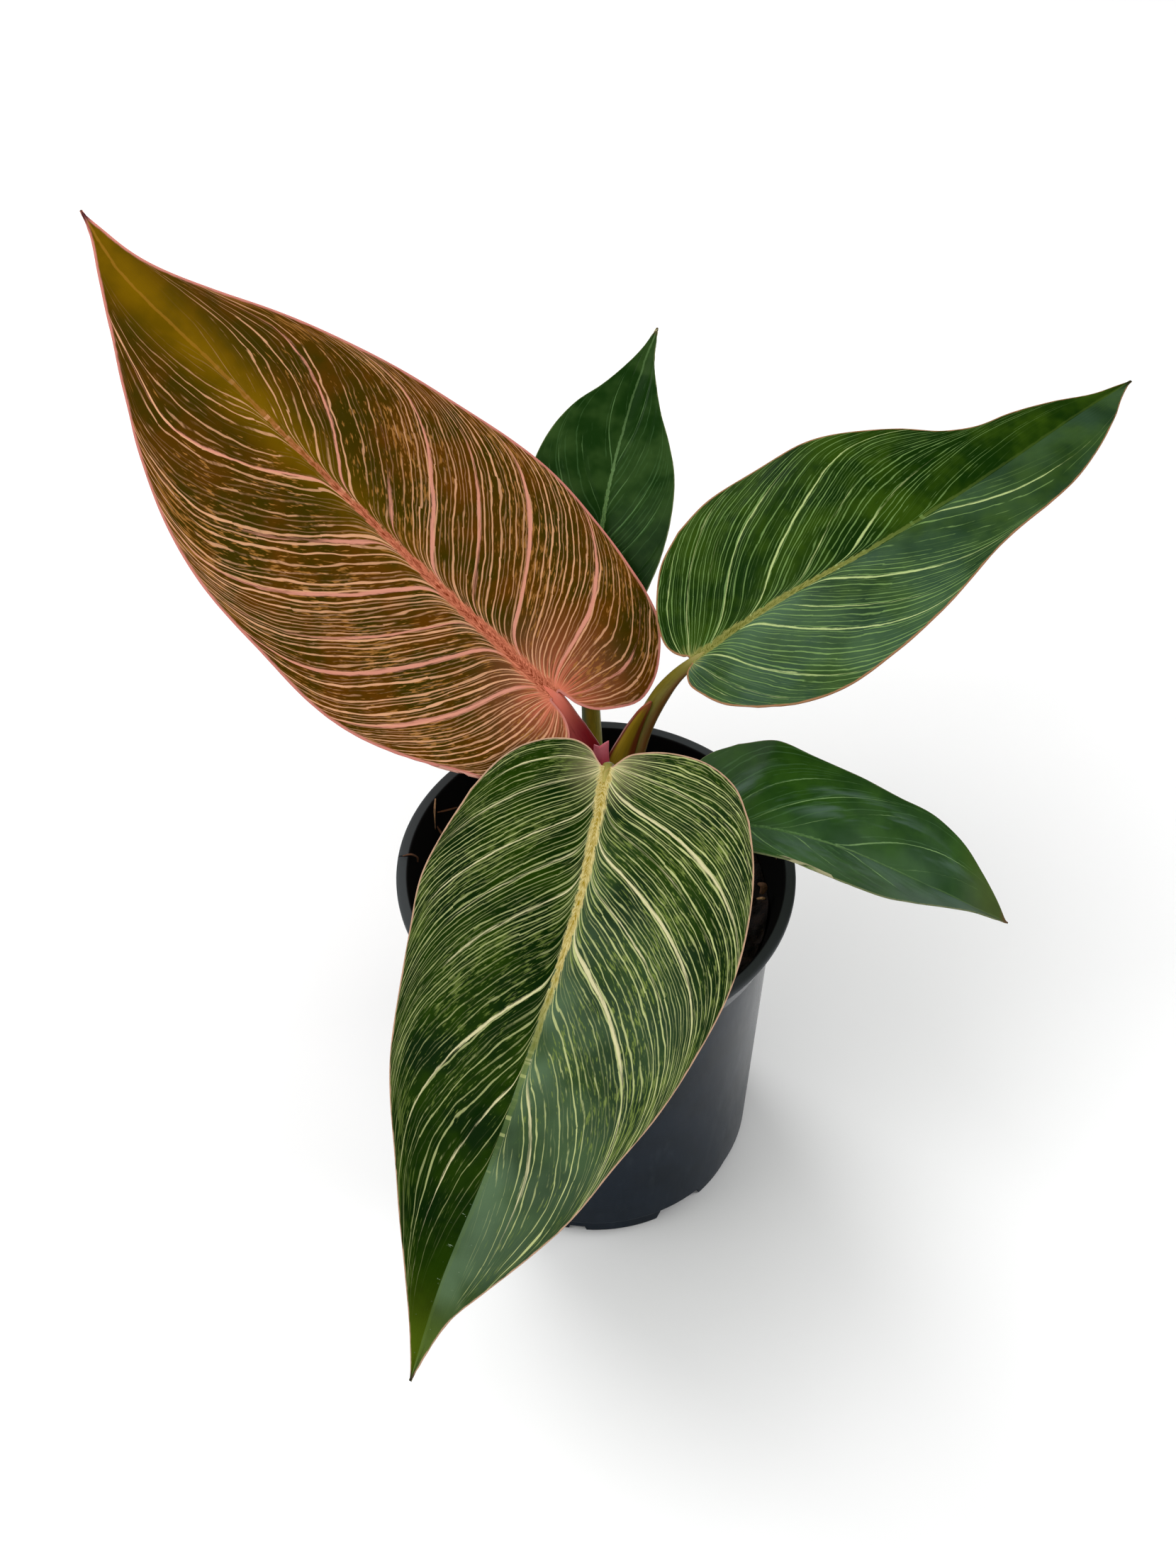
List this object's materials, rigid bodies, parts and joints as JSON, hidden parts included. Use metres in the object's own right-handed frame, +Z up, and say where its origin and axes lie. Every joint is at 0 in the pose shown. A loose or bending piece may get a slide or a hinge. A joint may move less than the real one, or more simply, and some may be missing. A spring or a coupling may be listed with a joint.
{
  "type": "potted philodendron plant",
  "caption": "Young pot plant with striped heart-shaped leaves on cupped petioles round a short stem, standing in soil in a tapered plastic nursery pot.",
  "frame": {"origin": "centre of the pot's flat base", "axes": "+Z up along the pot's axis, -Y towards the viewer, where the largest striped blade hangs over the pot's rim"},
  "size_m": [0.3075, 0.2966, 0.2766],
  "materials": {
    "pot_plastic": "satin moulded plastic, dark blue-grey",
    "soil": "dark moist potting mix of bark and peat",
    "stem": "smooth green stem with leaf scars",
    "blade_pink": "satin bronze-olive leaf with pink pinstripes",
    "blade_front": "satin green leaf with cream pinstripes",
    "blade_right": "satin dark green leaf with pale green veins",
    "blade_back": "glossy dark green leaf",
    "blade_low": "glossy dark green leaf",
    "petiole_pink": "smooth deep red petiole",
    "petiole_front": "smooth olive petiole",
    "petiole_right": "smooth olive petiole with a brown-red sheath",
    "petiole_back": "smooth olive-green petiole",
    "petiole_low": "smooth olive-green petiole",
    "bud": "magenta rolled leaf tip"
  },
  "bodies": {
    "root": {"pot": "pot_plastic", "soil": "soil", "stem": "stem", "blade_pink": "blade_pink", "petiole_pink": "petiole_pink", "blade_front": "blade_front", "petiole_front": "petiole_front", "blade_right": "blade_right", "petiole_right": "petiole_right", "blade_back": "blade_back", "petiole_back": "petiole_back", "blade_low": "blade_low", "petiole_low": "petiole_low", "bud": "bud"}
  },
  "joints": []
}
